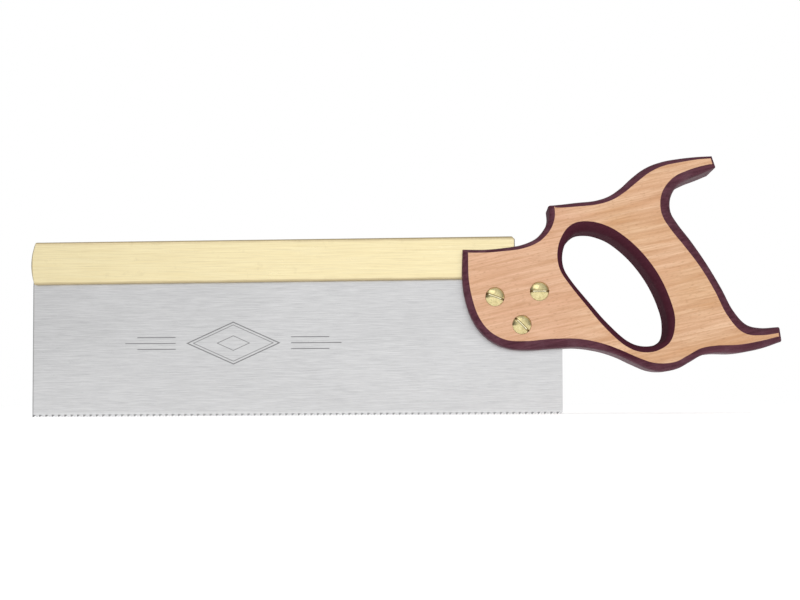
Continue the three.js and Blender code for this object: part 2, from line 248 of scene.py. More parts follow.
# the slot lip colours are painted shade
LIP_SHADE_DARK = (0.26, 0.19, 0.08)
LIP_SHADE_PALE = (0.38, 0.29, 0.13)
STEEL_DULL = (0.575, 0.575, 0.58)
STEEL_MID = (0.645, 0.645, 0.65)
STEEL_BRIGHT = (0.76, 0.76, 0.765)
STEEL_SCORED = (0.42, 0.42, 0.43)
STEEL_SCRATCH = (0.78, 0.78, 0.79)
# the next colour is painted shade on every second tooth
STEEL_TOOTH_SHADE = (0.10, 0.10, 0.105)
STEEL_TOE = (0.22, 0.22, 0.225)
STEEL_ETCHED = (0.16, 0.16, 0.165)

# The grip hole's middle and half sizes, and the slope of its long axis, which leans to the toe as it rises.
GRIP_X, GRIP_Z = 121.0, 71.0
GRIP_HALF_LENGTH, GRIP_HALF_WIDTH = 50, 29
GRIP_LEAN_X, GRIP_LEAN_Z = 0.67, 0.74

# The etched ornament: its middle, its lozenges as (half height, half line width), and its ruled lines as
# (height above the middle, near end, far end).
MARK_X, MARK_Z = -98.0, 42.0
LOZENGE_STRETCH = 2.2
LOZENGES = ((12.0, 0.28), (10.4, 0.16), (4.2, 0.16))
RULED_LINES = ((0.0, 33.0, 62.0), (3.4, 33.0, 55.0), (-3.4, 33.0, 55.0))
RULE_HALF_WIDTH = 0.2


def beech_colour(n):
    """Colour and height of sawn beech: growth bands, fine fibres, pores and short dark ray flecks."""
    turn = (0, GRAIN_TILT, 0)
    bands = n.noise(n.position((0.014, 0.03, 0.13), turn), 3.0, 0.55, 1.1)
    streaks = n.noise(n.position((0.028, 0.2, 0.50), turn, (4, 2, 6)), 3.0, 0.6, 0.6)
    fibres = n.noise(n.position((0.05, 0.5, 1.6), turn, (7, 0, 3)), 4.0, 0.65)
    pores = n.noise(n.position((0.35, 2.0, 5.0), turn, (2, 5, 1)), 2.0, 0.6)
    fleck = n.noise(n.position((0.38, 0.9, 2.0), turn, (11, 3, 17)), 1.0, 0.4)
    broad = n.noise(n.position((0.02, 0.02, 0.035), turn, (5, 1, 9)), 1.0, 0.5)
    tone = n.mix(n.between(bands, 0.36, 0.64), BEECH_PALE, BEECH_DEEP)
    tone = n.mix(n.between(broad, 0.35, 0.65, 0.0, 0.35), tone, BEECH_PINK)
    towards_plate = n.between(n.split(n.position())["X"], 85, 125, 0.60, 0.05, smooth=True)
    tone = n.mix(towards_plate, tone, BEECH_PINK)
    tone = n.mix(n.between(streaks, 0.42, 0.66, 0.0, 0.60), tone, BEECH_STREAK)
    tone = n.mix(n.between(fibres, 0.46, 0.70, 0.0, 0.45), tone, BEECH_FIBRE)
    tone = n.mix(n.between(pores, 0.58, 0.76, 0.0, 0.35), tone, BEECH_PORE)
    tone = n.mix(n.between(fleck, 0.61, 0.70, 0.0, 0.34), tone, BEECH_PORE)
    height = n.math("ADD", n.math("MULTIPLY", fibres, 0.6), n.math("MULTIPLY", pores, 0.4))
    return tone, height


def inside_grip(n, place):
    """1 in and around the grip hole, inside a tilted oval, and 0 elsewhere."""
    x = n.math("SUBTRACT", place["X"], GRIP_X)
    z = n.math("SUBTRACT", place["Z"], GRIP_Z)

    def part(operation, x_share, z_share, half_size):
        along_x = n.math("MULTIPLY", x, x_share / half_size)
        along_z = n.math("MULTIPLY", z, z_share / half_size)
        total = n.math(operation, along_x, along_z)
        return n.math("MULTIPLY", total, total)

    long_way = part("SUBTRACT", GRIP_LEAN_X, GRIP_LEAN_Z, GRIP_HALF_LENGTH)
    short_way = part("ADD", GRIP_LEAN_Z, GRIP_LEAN_X, GRIP_HALF_WIDTH)
    return n.between(n.math("ADD", long_way, short_way), 0.92, 1.08, 1.0, 0.0, smooth=True)


def handle_material():
    """Waxed bare beech on the two cheeks and dark red stain on every rounded edge and wall."""
    n = Nodes("handle_beech_and_stain")
    wood, height = beech_colour(n)
    place = n.split(n.position())
    depth = n.math("SUBTRACT", HANDLE_HALF, n.math("ABSOLUTE", place["Y"]))
    wobble = n.noise(n.position((0.25, 0.25, 0.25), (0, 0, 0), (3, 8, 1)), 3.0, 0.6)
    bleed = n.noise(n.position((0.6, 0.6, 2.6), (0, GRAIN_TILT, 0)), 2.0, 0.5)
    start = n.math("ADD", n.math("MULTIPLY", wobble, 0.010), n.math("MULTIPLY", bleed, 0.006))
    stained = n.between(depth, start, n.math("ADD", start, 0.012), smooth=True)
    streak = n.noise(n.position((0.03, 0.4, 0.7), (0, GRAIN_TILT, 0), (1, 2, 3)), 4.0, 0.6)
    wear = n.noise(n.position((0.09, 0.09, 0.09), (0, 0, 0), (9, 2, 4)), 4.0, 0.65)
    stain = n.mix(n.between(streak, 0.35, 0.68), STAIN_DARK, STAIN_RED)
    stain = n.mix(n.between(wear, 0.50, 0.75, 0.0, 0.45), stain, STAIN_WORN)
    # painted shade: in and around the grip hole the stain is mixed towards a darker red
    grip = inside_grip(n, place)
    stain = n.mix(n.math("MULTIPLY", grip, 0.85), stain, STAIN_GRIP_SHADE)
    colour = n.mix(stained, wood, stain)
    smudge = n.noise(n.position((0.05, 0.05, 0.05), (0, 0, 0), (4, 4, 2)), 4.0, 0.6)
    wood_rough = n.between(smudge, 0.3, 0.7, 0.42, 0.56)
    rubbed = n.between(wear, 0.3, 0.7, 0.38, 0.52)
    stain_rough = n.math("ADD", rubbed, n.math("MULTIPLY", grip, 0.38))
    rough = n.add("ShaderNodeMix", data_type="FLOAT")
    n.feed(rough.inputs["Factor"], stained)
    n.feed(rough.inputs[2], wood_rough)
    n.feed(rough.inputs[3], stain_rough)
    normal = n.bump(height, 0.00005, 0.45)
    normal = n.bump(wear, 0.0003, 0.08, normal)
    n.set(Base_Color=colour, Roughness=rough.outputs[0], Normal=normal)
    n.set(IOR=1.45, Specular_IOR_Level=0.1)
    return n.material


def raw_beech_material():
    """The sawn inner walls of the mortise, the kerf and the bolt holes."""
    n = Nodes("handle_sawn_beech")
    wood, height = beech_colour(n)
    marks = n.noise(n.position((3.0, 3.0, 0.4)), 2.0, 0.6)
    colour = n.mix(n.between(marks, 0.4, 0.7, 0.15, 0.5), wood, BEECH_SAWN)
    rough = n.between(marks, 0.3, 0.7, 0.6, 0.8)
    normal = n.bump(n.math("ADD", height, marks), 0.00008, 0.6)
    n.set(Base_Color=colour, Roughness=rough, Normal=normal)
    return n.material


def etched_mark(n, place):
    """A plain etched ornament on the -Y side of the plate: nested lozenges between short ruled lines."""
    x = n.math("SUBTRACT", place["X"], MARK_X)
    z = n.math("SUBTRACT", place["Z"], MARK_Z)
    reach = n.math("ABSOLUTE", x)
    lozenge = n.math("ADD", n.math("DIVIDE", reach, LOZENGE_STRETCH), n.math("ABSOLUTE", z))
    lines = []
    for size, width in LOZENGES:
        off_line = n.math("ABSOLUTE", n.math("SUBTRACT", lozenge, size))
        lines.append(n.between(off_line, width, width + 0.1, 1.0, 0.0))
    for row, near, far in RULED_LINES:
        off_line = n.math("ABSOLUTE", n.math("SUBTRACT", z, row))
        across = n.between(off_line, RULE_HALF_WIDTH, RULE_HALF_WIDTH + 0.12, 1.0, 0.0)
        starts = n.between(reach, near, near + 0.3)
        stops = n.between(reach, far, far + 0.3, 1.0, 0.0)
        lines.append(n.math("MULTIPLY", across, n.math("MULTIPLY", starts, stops)))
    mark = lines[0]
    for line in lines[1:]:
        mark = n.math("MAXIMUM", mark, line)
    near_face = n.math("LESS_THAN", place["Y"], -0.3)
    return n.math("MULTIPLY", mark, near_face)


def steel_material():
    """Steel polished lengthwise: scratches, a bright tooth line, painted shade on alternate teeth, the etched
    mark.
    """
    n = Nodes("plate_brushed_steel")
    place = n.split(n.position())
    brush = n.noise(n.position((0.045, 0.5, 1.8)), 5.0, 0.75)
    brush_fine = n.noise(n.position((0.09, 0.5, 4.0), (0, 0, 0), (3, 0, 5)), 4.0, 0.75)
    cloud = n.noise(n.position((0.012, 0.1, 0.03)), 3.0, 0.55)
    scratch = n.noise(n.position((0.02, 0.5, 3.0), (0, math.radians(3), 0), (8, 0, 1)), 2.0, 0.5)
    base = n.mix(n.between(cloud, 0.3, 0.7), STEEL_DULL, STEEL_MID)
    base = n.mix(n.between(brush, 0.40, 0.64, 0.0, 0.66), base, STEEL_BRIGHT)
    base = n.mix(n.between(brush_fine, 0.44, 0.66, 0.0, 0.58), base, STEEL_SCORED)
    base = n.mix(n.between(scratch, 0.66, 0.72, 0.0, 0.30), base, STEEL_SCRATCH)
    edge = n.between(place["Z"], 1.6, 3.2, 1.0, 0.0)
    base = n.mix(n.math("MULTIPLY", edge, 0.6), base, STEEL_BRIGHT)
    from_toe = n.math("SUBTRACT", place["X"], PLATE_TOE_X)
    pair = n.math("FRACT", n.math("DIVIDE", from_toe, 2 * TOOTH_PITCH))
    off_tooth = n.math("ABSOLUTE", n.math("SUBTRACT", pair, 0.25))
    facet_shade = n.between(off_tooth, 0.16, 0.30, 0.78, 0.12)  # painted shade: alternate teeth face away
    tooth_band = n.between(place["Z"], TOOTH_DEPTH - 0.1, TOOTH_DEPTH + 0.5, 1.0, 0.0)
    # painted shade: the teeth that face away are mixed towards near black
    base = n.mix(n.math("MULTIPLY", tooth_band, facet_shade), base, STEEL_TOOTH_SHADE)
    toe = n.math("SUBTRACT", place["X"], n.math("MULTIPLY", place["Z"], TOE_SLANT / PLATE_SHOWN))
    toe_line = n.between(toe, PLATE_TOE_X + 0.35, PLATE_TOE_X + 0.75, 1.0, 0.0)
    base = n.mix(n.math("MULTIPLY", toe_line, 0.7), base, STEEL_TOE)
    mark = etched_mark(n, place)
    base = n.mix(n.math("MULTIPLY", mark, 0.75), base, STEEL_ETCHED)
    rough = n.math("ADD", n.between(brush, 0.3, 0.7, 0.26, 0.40), n.math("MULTIPLY", mark, 0.25))
    height = n.math("ADD", n.math("MULTIPLY", brush, 0.5), n.math("MULTIPLY", brush_fine, 0.5))
    normal = n.bump(height, 0.00002, 0.6)
    normal = n.bump(n.math("MULTIPLY", mark, -1.0), 0.00003, 0.8, normal)
    n.set(Base_Color=base, Metallic=1.0, Roughness=rough, Normal=normal, Anisotropic=0.5)
    return n.material


def back_brass_material():
    """Drawn brass, polished along its length, with spots of tarnish and painted shade along its edges and toe
    end.
    """
    n = Nodes("back_drawn_brass")
    place = n.split(n.position())
    grain = n.noise(n.position((0.025, 0.6, 1.6)), 4.0, 0.65)
    fine = n.noise(n.position((0.07, 2.0, 6.0), (0, 0, 0), (2, 2, 2)), 3.0, 0.65)
    spots = n.noise(n.position((0.12, 0.12, 0.12), (0, 0, 0), (6, 1, 3)), 4.0, 0.7)
    edge_wave = n.noise(n.position((0.06, 0.4, 0.3), (0, 0, 0), (1, 7, 2)), 3.0, 0.6)
    colour = n.mix(n.between(grain, 0.35, 0.65), BRASS_LIGHT, BRASS_MID)
    colour = n.mix(n.between(fine, 0.48, 0.74, 0.0, 0.35), colour, BRASS_TARNISH_AND_SHADE)
    colour = n.mix(n.between(spots, 0.60, 0.80, 0.0, 0.25), colour, BRASS_TARNISH_AND_SHADE)
    slope = n.math("MULTIPLY", n.math("SUBTRACT", place["X"], BACK_TOE_X), math.tan(BACK_TILT))
    rise = n.math("SUBTRACT", n.math("SUBTRACT", place["Z"], BACK_BOTTOM_Z), slope)
    wave = n.math("MULTIPLY", n.math("SUBTRACT", edge_wave, 0.5), 0.8)
    # painted shade: masks for dark bands along the bottom and top edges and at the toe end
    low_edge_shade = n.between(n.math("ADD", rise, wave), 0.5, 1.6, 1.0, 0.0, smooth=True)
    top_edge_shade = n.between(n.math("ADD", rise, wave), BACK_HEIGHT - 2.6, BACK_HEIGHT - 0.8, smooth=True)
    toe_end_shade = n.between(place["X"], BACK_TOE_X + 0.5, BACK_TOE_X + 1.3, 1.0, 0.0)
    edges = n.math("MAXIMUM", n.math("MAXIMUM", low_edge_shade, top_edge_shade), toe_end_shade)
    # painted shade: the edges and the toe end are mixed towards the tarnish colour
    colour = n.mix(n.math("MULTIPLY", edges, 0.8), colour, BRASS_TARNISH_AND_SHADE)
    polish = n.between(n.math("ADD", grain, spots), 0.7, 1.3, 0.26, 0.40)
    rough = n.math("ADD", polish, n.math("MULTIPLY", edges, 0.12))
    normal = n.bump(n.math("ADD", grain, fine), 0.00002, 0.5)
    n.set(Base_Color=colour, Metallic=1.0, Roughness=rough, Normal=normal)
    return n.material


def fastener_material():
    """Turned brass heads with a thin brown-green tarnish, worn bright in places."""
    n = Nodes("fastener_turned_brass")
    grain = n.noise(n.position((0.9, 0.9, 0.9)), 3.0, 0.6)
    fine = n.noise(n.position((5.0, 5.0, 5.0), (0, 0, 0), (2, 2, 2)), 2.0, 0.6)
    spots = n.noise(n.position((0.30, 0.30, 0.30), (0, 0, 0), (6, 1, 3)), 4.0, 0.7)
    colour = n.mix(n.between(grain, 0.3, 0.7), NUT_BRASS_LIGHT, NUT_BRASS_MID)
    colour = n.mix(n.between(fine, 0.50, 0.78, 0.0, 0.35), colour, NUT_GRIME)
    colour = n.mix(n.between(spots, 0.52, 0.74, 0.0, 0.55), colour, NUT_TARNISH)
    rough = n.between(n.math("ADD", grain, spots), 0.7, 1.3, 0.14, 0.30)
    normal = n.bump(n.math("ADD", grain, fine), 0.00002, 0.45)
    n.set(Base_Color=colour, Metallic=1.0, Roughness=rough, Normal=normal)
    return n.material


def slot_material():
    """The floors of the screwdriver slots: a painted highlight, in brass paler than the heads."""
    n = Nodes("fastener_slot_floor")
    grain = n.noise(n.position((2.0, 2.0, 2.0)), 3.0, 0.6)
    # painted highlight: paler brass than the heads, so the slot floor shows as a bright line
    colour = n.mix(n.between(grain, 0.3, 0.7), SLOT_HIGHLIGHT_PALE, SLOT_HIGHLIGHT_MID)
    rough = n.between(grain, 0.3, 0.7, 0.14, 0.24)
    n.set(Base_Color=colour, Metallic=0.9, Roughness=rough, Normal=n.bump(grain, 0.00003, 0.5))
    return n.material


def lip_material():
    """Painted shade: dark brown brass on the bevelled lips of the slots."""
    n = Nodes("fastener_slot_lip")
    grain = n.noise(n.position((2.4, 2.4, 2.4)), 3.0, 0.6)
    # painted shade: darker brass on the lips, so the slot edge shows as a dark line
    colour = n.mix(n.between(grain, 0.3, 0.7), LIP_SHADE_DARK, LIP_SHADE_PALE)
    rough = n.between(grain, 0.3, 0.7, 0.30, 0.42)
    n.set(Base_Color=colour, Metallic=1.0, Roughness=rough, Normal=n.bump(grain, 0.00002, 0.4))
    return n.material


# ---------------------------------------------------------------- mesh helpers
def smooth_run(points, closed, step):
    """Points along a centripetal Catmull-Rom curve, as (x, z, radius), without the last one."""
    pts = [Vector(p) for p in points]
    count = len(pts)
    segments = count if closed else count - 1
    out = []
    for i in range(segments):
        p1, p2 = pts[i], pts[(i + 1) % count]
        p0 = pts[i - 1] if closed or i > 0 else 2 * pts[0] - pts[1]
        p3 = pts[(i + 2) % count] if closed or i + 2 < count else 2 * pts[-1] - pts[-2]
        d0, d1, d2 = (max((b - a).length, 1e-6) ** 0.5 for a, b in ((p0, p1), (p1, p2), (p2, p3)))
        m1 = ((p1 - p0) / d0 - (p2 - p0) / (d0 + d1) + (p2 - p1) / d1) * d1
        m2 = ((p2 - p1) / d1 - (p3 - p1) / (d1 + d2) + (p3 - p2) / d2) * d1
        steps = max(1, round((p2 - p1).length / step))
        for k in range(steps):
            t = k / steps
            out.append(p1 * (2 * t**3 - 3 * t**2 + 1) + m1 * (t**3 - 2 * t**2 + t)
                       + p2 * (3 * t**2 - 2 * t**3) + m2 * (t**3 - t**2))
    return out


def loop_of(runs, closed, step):
    """One closed loop of (x, z, radius before, radius after)."""
    pieces = [smooth_run(run, closed, step) for run in runs]
    loop = []
    for index, piece in enumerate(pieces):
        for i, p in enumerate(piece):
            before = runs[index - 1][-1][2] if i == 0 and not closed else p.z
            loop.append((p.x, p.y, before, p.z))
    return loop


def draw_in(radius, depth):
    return 0.0 if depth >= radius else radius - math.sqrt(radius**2 - (radius - depth) ** 2)


def inset(loop, depth, sign):
    """The loop moved into the material by the rounding at one depth below the face."""
    out, corners = [], []
    for i, (x, z, radius_in, radius_out) in enumerate(loop):
        before, after = loop[i - 1], loop[(i + 1) % len(loop)]
        a = Vector((x - before[0], z - before[1])).normalized()
        b = Vector((after[0] - x, after[1] - z)).normalized()
        na, nb = Vector((a.y, -a.x)) * sign, Vector((b.y, -b.x)) * sign
        move_a, move_b = draw_in(radius_in, depth), draw_in(radius_out, depth)
        turn = na.dot(nb)
        if turn > SMOOTH_TURN:
            middle = na + nb
            shift = middle * ((move_a + move_b) / middle.length_squared)
        else:
            shift = (na * (move_a - move_b * turn) + nb * (move_b - move_a * turn)) / (1 - turn**2)
            corners.append((i, a, b))
        out.append(Vector((x + shift.x, z + shift.y)))
    # the points that a sharp corner has moved past are drawn back onto it
    for i, a, b in corners:
        for step, along in ((1, b), (-1, -a)):
            j = (i + step) % len(loop)
            while j != i and (out[j] - out[i]).dot(along) < 0:
                out[j] = out[i].copy()
                j = (j + step) % len(loop)
    return out


def rounded_board(name, loops, half, levels):
    """A board with rounded edges. loops holds (loop, sign) pairs: the outline first, then any holes."""
    mesh = bmesh.new()
    rows = [(d, -half + d) for d in levels] + [(d, half - d) for d in reversed(levels)]
    for loop, sign in loops:
        rings = []
        for depth, y in rows:
            rings.append([mesh.verts.new((x * MM, y * MM, z * MM)) for x, z in inset(loop, depth, sign)])
        for low, high in zip(rings, rings[1:]):
            for i in range(len(loop)):
                j = (i + 1) % len(loop)
                quad = (low[i], low[j], high[j], high[i])
                mesh.faces.new(quad if sign > 0 else quad[::-1])
    bmesh.ops.remove_doubles(mesh, verts=mesh.verts, dist=1e-7)
    for side in (-1, 1):
        rim = [e for e in mesh.edges if e.is_boundary and e.verts[0].co.y * side > 0]
        bmesh.ops.triangle_fill(mesh, edges=rim, use_beauty=True, normal=(0, side, 0))
    bmesh.ops.recalc_face_normals(mesh, faces=mesh.faces)
    return to_object(name, mesh)


def to_object(name, mesh):
    data = bpy.data.meshes.new(name)
    mesh.to_mesh(data)
    mesh.free()
    made = bpy.data.objects.new(name, data)
    bpy.context.scene.collection.objects.link(made)
    return made


def rectangle(low_x, low_z, high_x, high_z):
    return (low_x, low_z), (high_x, low_z), (high_x, high_z), (low_x, high_z)


def wall(mesh, front, back):
    """The faces that join two outlines with the same number of points."""
    for i in range(len(front)):
        j = (i + 1) % len(front)
        mesh.faces.new((front[j], front[i], back[i], back[j]))


def board(name, points, near, far):
    """An x-z polygon made into a board from y = near to y = far."""
    mesh = bmesh.new()
    front = [mesh.verts.new((x * MM, near * MM, z * MM)) for x, z in points]
    back = [mesh.verts.new((x * MM, far * MM, z * MM)) for x, z in points]
    mesh.faces.new(front)
    mesh.faces.new(back[::-1])
    wall(mesh, front, back)
    bmesh.ops.recalc_face_normals(mesh, faces=mesh.faces)
    return to_object(name, mesh)


def turned(name, profile, x, z, segments=96):
    """A piece turned about an axis along Y through (x, z); its profile is (radius, y) from axis to axis."""
    mesh = bmesh.new()
    rings = []
    for radius, y in profile:
        ring = []
        for k in range(segments if radius else 1):
            angle = 2 * PI * k / segments
            across, up = x + radius * math.cos(angle), z + radius * math.sin(angle)
            ring.append(mesh.verts.new((across * MM, y * MM, up * MM)))
        rings.append(ring)
    for low, high in zip(rings, rings[1:]):
        for k in range(segments):
            m = (k + 1) % segments
            corners = [low[k % len(low)], low[m % len(low)], high[m % len(high)], high[k % len(high)]]
            mesh.faces.new(list(dict.fromkeys(corners)))
    bmesh.ops.recalc_face_normals(mesh, faces=mesh.faces)
    return to_object(name, mesh)


def combine(target, tool, operation="DIFFERENCE"):
    """One boolean, applied; the tool is used up. Cut faces take the tool's material, or the target's."""
    if not tool.data.materials:
        tool.data.materials.append(target.data.materials[0])
    modifier = target.modifiers.new("cut", "BOOLEAN")
    modifier.operation = operation
    modifier.solver = "EXACT"
    modifier.material_mode = "TRANSFER"
    modifier.object = tool
    apply_modifiers(target)
    bpy.data.objects.remove(tool)


def apply_modifiers(target):
    graph = bpy.context.evaluated_depsgraph_get()
    baked = bpy.data.meshes.new_from_object(target.evaluated_get(graph), depsgraph=graph)
    target.modifiers.clear()
    target.data = baked


def shade(target, angle=32):
    """Smooth shading with sharp edges kept, and flats left flat."""
    for polygon in target.data.polygons:
        polygon.use_smooth = True
    target.data.set_sharp_from_angle(angle=math.radians(angle))
    weighted = target.modifiers.new("flats", "WEIGHTED_NORMAL")
    weighted.keep_sharp = True
    weighted.weight = 80
    apply_modifiers(target)


def finish_piece(target, node):
    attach(target, "root")
    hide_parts(node)


def back_bottom(x):
    return BACK_BOTTOM_Z + (x - BACK_TOE_X) * math.tan(BACK_TILT)


def heel_corner(gap):
    """The heel edge of the plate and the height of its shoulder, grown by a gap."""
    return PLATE_HEEL_X + gap, back_bottom(PLATE_HEEL_X) - SHOULDER_DROP + gap


# ---------------------------------------------------------------- saw plate
def tooth_rows():
    """The toothed edge on the near and far faces: gullets and points, bent and bevelled alternately."""
    rise = TOOTH_DEPTH * math.tan(TOOTH_RAKE)
    near = [(PLATE_TOE_X, -PLATE_HALF, 0)]
    far = [(PLATE_TOE_X, PLATE_HALF, 0)]
    for tooth in range(1, TOOTH_COUNT):
        gullet = PLATE_TOE_X + tooth * TOOTH_PITCH
        side = 1 if tooth % 2 else -1
        bend = side * TOOTH_SET
        near.append((gullet - side * TOOTH_FLEAM / 2, -PLATE_HALF, TOOTH_DEPTH))
        far.append((gullet + side * TOOTH_FLEAM / 2, PLATE_HALF, TOOTH_DEPTH))
        near.append((gullet + rise, -PLATE_HALF + bend, POINT_BEVEL if side > 0 else 0))
        far.append((gullet + rise, PLATE_HALF + bend, 0 if side > 0 else POINT_BEVEL))
    return near, far


def plate_rest():
    """The rest of the plate's outline from heel to toe: clipped corner, shoulder and hidden tongue."""
    heel, shoulder = heel_corner(0)
    tongue_heel = BACK_HEEL_X - END_GAP
    tongue_toe = PLATE_TOE_X + TOE_SLANT + TONGUE_STEP
    tongue = BACK_SLOT_DEPTH - END_GAP
    return [
        (heel, TOOTH_DEPTH),
        (heel, shoulder - HEEL_CLIP),
        (heel - HEEL_CLIP, shoulder),
        (tongue_heel, shoulder),
        (tongue_heel, back_bottom(tongue_heel) + tongue),
        (tongue_toe, back_bottom(tongue_toe) + tongue),
        (PLATE_TOE_X + TOE_SLANT, back_bottom(PLATE_TOE_X) - END_GAP),
    ]


def plate_side(mesh, half, edge, flip):
    """One broad side of the plate: a face above each tooth and one for the rest. Returns its outline."""
    gum_z = TOOTH_DEPTH + GUM_RISE

    def vertex(x, y, z):
        return mesh.verts.new((x * MM, y * MM, z * MM))

    def face(corners):
        mesh.faces.new(corners[::-1] if flip else corners)

    low = [vertex(*point) for point in edge]
    high = [vertex(x, half, z) for x, z in plate_rest()]
    toe_gum = vertex(PLATE_TOE_X, half, gum_z)
    gum = [vertex(PLATE_TOE_X + k * TOOTH_PITCH, half, gum_z) for k in range(1, TOOTH_COUNT)]
    heel_gum = vertex(PLATE_HEEL_X, half, gum_z)
    # tooth 0 is the toe corner, then gullet and point alternate
    face([low[0], low[1], gum[0], toe_gum])
    for k in range(1, TOOTH_COUNT):
        gullet, point = low[2 * k - 1], low[2 * k]
        after = low[2 * k + 1] if 2 * k + 1 < len(low) else high[0]
        after_gum = gum[k] if k < TOOTH_COUNT - 1 else heel_gum
        face([gullet, point, after, after_gum, gum[k - 1]])
    face([toe_gum, *gum, heel_gum, *high[1:]])
    return [*low, high[0], heel_gum, *high[1:], toe_gum]


def make_plate(material):
    mesh = bmesh.new()
    near, far = tooth_rows()
    front = plate_side(mesh, -PLATE_HALF, near, False)
    back = plate_side(mesh, PLATE_HALF, far, True)
    wall(mesh, front, back)
    bmesh.ops.recalc_face_normals(mesh, faces=mesh.faces)
    plate = to_object("plate_blade", mesh)
    plate.data.materials.append(material)
    hole = SHANK_RADIUS + PLATE_HOLE_GAP
    for _, x, z, _ in FASTENERS:
        combine(plate, turned("cutter", ((0, -2), (hole, -2), (hole, 2), (0, 2)), x, z, 48))
    finish_piece(plate, "saw_plate")


# ---------------------------------------------------------------- brass back
def back_outline():
    """Side outline of the back, clockwise seen from -Y, as (x, z, radius before, radius after)."""
    length, height = BACK_HEEL_X - BACK_TOE_X, BACK_HEIGHT
    toe_steps, run_steps = 20, 40
    toe = []
    for k in range(toe_steps + 1):
        t = k / toe_steps
        toe.append((BACK_TOE_LEAN * t - 4 * BACK_TOE_BULGE * t * (1 - t), height * t))
    front = min(x for x, _ in toe)
    line = [(x - front, z, BACK_EDGE_RADIUS) for x, z in toe[:-1]]
    top_toe = toe[-1][0] - front
    top_heel = length - BACK_HEEL_CHAMFER
    for k in range(run_steps):
        line.append((top_toe + (top_heel - top_toe) * k / run_steps, height, BACK_TOP_RADIUS))
    for x, z in ((top_heel, height), (length, height - BACK_HEEL_CHAMFER), (length, height / 2), (length, 0)):
        line.append((x, z, BACK_EDGE_RADIUS))
    for k in range(run_steps - 1, 0, -1):
        line.append((length * k / run_steps, 0, BACK_EDGE_RADIUS))
    return [(x, z, line[i - 1][2], radius) for i, (x, z, radius) in enumerate(line)]


def make_back(material):
    back = rounded_board("back_bar", [(back_outline(), 1)], BACK_HALF, BACK_LEVELS)
    back.data.materials.append(material)
    reach = BACK_HEEL_X - BACK_TOE_X + PAST
    half_slot = PLATE_HALF + BACK_SLOT_GAP
    slot = rectangle(-PAST, -3, reach, BACK_SLOT_DEPTH)
    combine(back, board("cutter", slot, -half_slot, half_slot))
    lift = Matrix.Translation((BACK_TOE_X * MM, 0, BACK_BOTTOM_Z * MM))
    back.data.transform(lift @ Matrix.Rotation(-BACK_TILT, 4, "Y"))
    shade(back)
    finish_piece(back, "brass_back")


# ---------------------------------------------------------------- handle
def plate_and_back_cutters():
    """The kerf for the plate and the mortise for the brass back, open at the front of the handle."""
    front, top = 10, 130
    heel, shoulder = heel_corner(END_GAP)
    under_back = BACK_HEEL_X - 2
    kerf = ((front, 10), (heel, 10), (heel, shoulder - HEEL_CLIP), (heel - HEEL_CLIP, shoulder),
            (under_back, shoulder), (under_back, shoulder + 4), (front, shoulder + 4))
    back_end = BACK_HEEL_X + END_GAP
    mortise = ((front, back_bottom(front) - END_GAP), (back_end, back_bottom(BACK_HEEL_X) - END_GAP),
               (back_end, top), (front, top))
    cutters = []
    for outline, half in ((kerf, PLATE_HALF + KERF_GAP), (mortise, BACK_HALF + MORTISE_GAP)):
        cutters.append(board("cutter", outline, -half, half))
    return cutters


def fastener_cutters():
    """Per fastener, one stepped bore for heads, barrel and shank, and a square seat for the bolt's neck."""
    seat, barrel, shank = HEAD_RADIUS + FITTING_GAP, BARREL_RADIUS + FITTING_GAP, SHANK_RADIUS + BORE_GAP
    floor = HANDLE_HALF - HEAD_SEAT - 0.1
    outside = HANDLE_HALF + 5
    bore = ((0, -outside), (seat, -outside), (seat, -floor), (barrel, -floor), (barrel, 0), (shank, 0),
            (shank, floor), (seat, floor), (seat, outside), (0, outside))
    neck = NECK_SIDE / 2 + BORE_GAP
    cutters = []
    for _, x, z, _ in FASTENERS:
        square = rectangle(x - neck, z - neck, x + neck, z + neck)
        cutters.append(turned("cutter", bore, x, z, 64))
        cutters.append(board("cutter", square, floor - NECK_LENGTH - 0.5, floor + 0.2))
    return cutters


def make_handle(wood, raw):
    outline = loop_of(HANDLE_OUTLINE, False, CURVE_STEP)
    hole = loop_of((GRIP_HOLE,), True, CURVE_STEP)
    handle = rounded_board("handle_body", [(outline, 1), (hole, -1)], HANDLE_HALF, ROUNDING_LEVELS)
    handle.data.materials.append(wood)
    for cutter in plate_and_back_cutters() + fastener_cutters():
        cutter.data.materials.append(raw)
        combine(handle, cutter)
    shade(handle, 40)
    finish_piece(handle, "handle")


# ---------------------------------------------------------------- saw nuts and bolts
def head_ball():
    """Radius of the ball that the dome is part of, and the height of the dome."""
    crown = HEAD_DOME - CROWN_DROP
    return (HEAD_RADIUS**2 + crown**2) / (2 * crown), crown


def head_profile():
    """From the crown outwards: a shallow ball-shaped dome, then the rim seated in the wood."""
    rim = -HANDLE_HALF + HEAD_SEAT
    ball, crown = head_ball()
    reach = math.asin(HEAD_RADIUS / ball)
    steps = 18
    profile = [(0, -HANDLE_HALF - crown)]
    for k in range(1, steps + 1):
        angle = reach * k / steps
        profile.append((ball * math.sin(angle), -HANDLE_HALF - crown + ball - ball * math.cos(angle)))
    profile.append((HEAD_RADIUS, rim - HEAD_RIM))
    profile.append((HEAD_RADIUS - HEAD_RIM, rim))
    return profile


def slot_place(x, z, slot_angle):
    return Matrix.Translation((x * MM, 0, z * MM)) @ Matrix.Rotation(math.radians(-slot_angle), 4, "Y")


